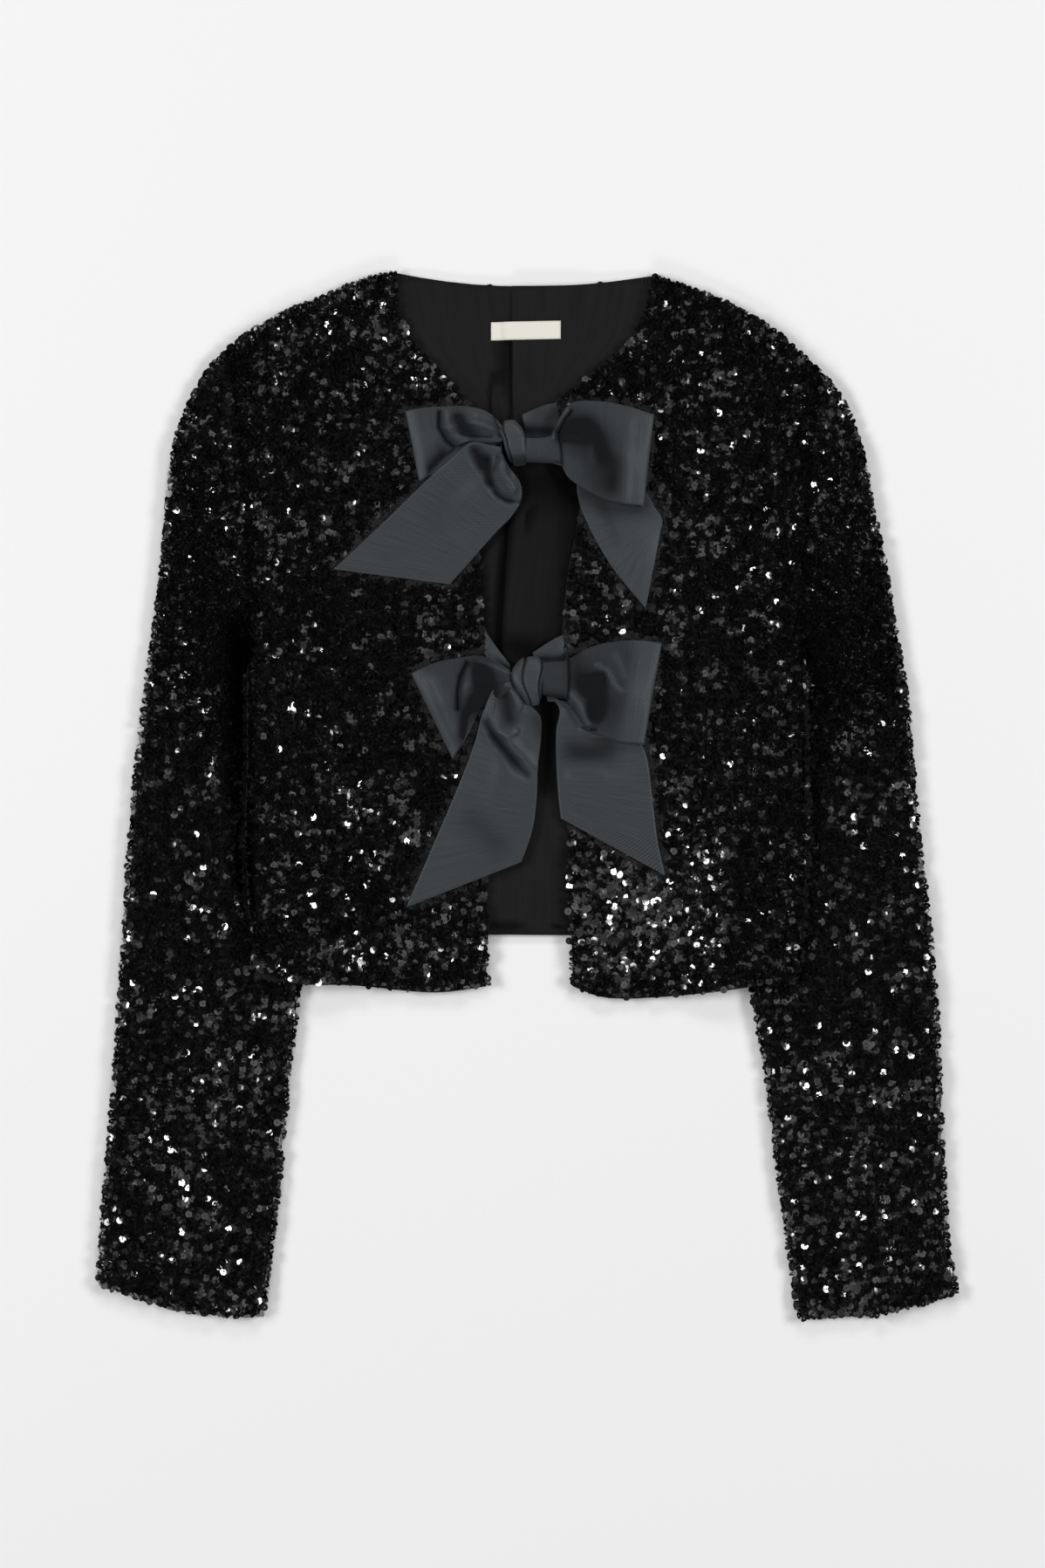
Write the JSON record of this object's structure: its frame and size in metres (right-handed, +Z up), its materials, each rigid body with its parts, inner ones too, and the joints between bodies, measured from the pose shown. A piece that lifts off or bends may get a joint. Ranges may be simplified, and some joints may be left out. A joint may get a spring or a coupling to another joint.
{
  "type": "sequinned blouse laid flat",
  "caption": "Cropped long-sleeved sequinned blouse, lined, open at the front and tied with ribbon bows, lying flat on its back.",
  "frame": {"origin": "on the surface that the blouse lies on, under the middle of its outline", "axes": "+Z up off the surface, +Y towards the neck, +X towards the wearer's left"},
  "size_m": [0.5681, 0.6898, 0.0245],
  "materials": {
    "sequins": "gloss",
    "lining": "satin",
    "ribbon": "satin",
    "label": "matte"
  },
  "bodies": {
    "root": {"back": "sequins", "back_lining": "lining", "label": "label", "front_right": "sequins", "sleeve_right": "sequins", "front_lining_right": "lining", "sleeve_lining_right": "lining", "front_left": "sequins", "sleeve_left": "sequins", "front_lining_left": "lining", "sleeve_lining_left": "lining", "upper_bow_knot": "ribbon", "upper_bow_loop_right": "ribbon", "upper_bow_tail_right": "ribbon", "upper_bow_strap_right": "ribbon", "upper_bow_strap_left": "ribbon", "upper_bow_tail_left": "ribbon", "upper_bow_loop_left": "ribbon", "lower_bow_knot": "ribbon", "lower_bow_loop_right": "ribbon", "lower_bow_tail_right": "ribbon", "lower_bow_strap_right": "ribbon", "lower_bow_strap_left": "ribbon", "lower_bow_tail_left": "ribbon", "lower_bow_loop_left": "ribbon"}
  },
  "joints": []
}
